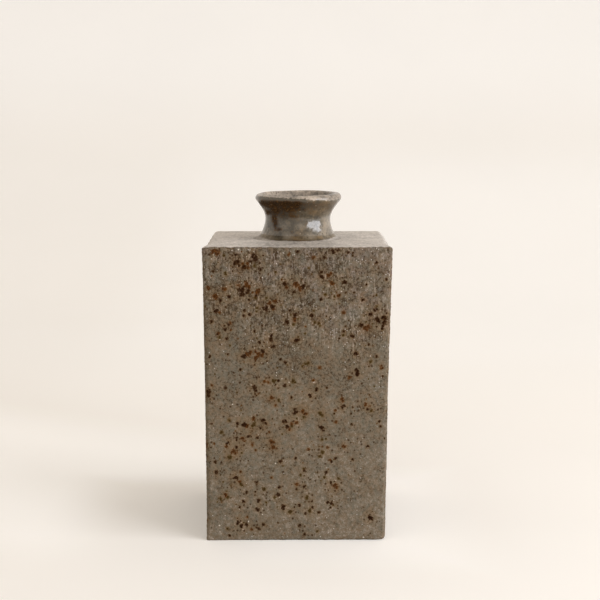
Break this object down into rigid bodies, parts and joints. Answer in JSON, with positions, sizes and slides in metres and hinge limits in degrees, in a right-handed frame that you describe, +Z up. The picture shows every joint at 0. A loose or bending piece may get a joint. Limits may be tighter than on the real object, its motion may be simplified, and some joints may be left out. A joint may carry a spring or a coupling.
{
  "type": "bottle vase",
  "caption": "Square slab-built stoneware bottle vase with a flat shoulder and a short thrown neck that flares to a thick glazed lip, for water and cut stems.",
  "frame": {"origin": "middle of the underside, on the surface that the vase stands on", "axes": "+Z up through the middle of the neck, the pictured front faces -Y, +X to the right of it"},
  "size_m": [0.0868, 0.0868, 0.1606],
  "materials": {
    "stoneware_body": "dry unglazed grogged clay with iron spots",
    "smoothed_shoulder": "ribbed smooth, pale and dry",
    "glazed_neck": "glossy olive-brown glaze, thin and pale on the lip",
    "seam_coil_clay": "pressed by hand inside the seams"
  },
  "bodies": {
    "root": {"base_slab": "stoneware_body", "front_wall_slab": "stoneware_body", "right_wall_slab": "stoneware_body", "back_wall_slab": "stoneware_body", "left_wall_slab": "stoneware_body", "shoulder_slab": "smoothed_shoulder", "neck_collar": "glazed_neck", "neck_seam_coil": "smoothed_shoulder", "front_left_corner_coil": "seam_coil_clay", "front_right_corner_coil": "seam_coil_clay", "back_left_corner_coil": "seam_coil_clay", "back_right_corner_coil": "seam_coil_clay", "front_base_coil": "seam_coil_clay", "right_base_coil": "seam_coil_clay", "back_base_coil": "seam_coil_clay", "left_base_coil": "seam_coil_clay", "front_shoulder_coil": "seam_coil_clay", "right_shoulder_coil": "seam_coil_clay", "back_shoulder_coil": "seam_coil_clay", "left_shoulder_coil": "seam_coil_clay"}
  },
  "joints": []
}
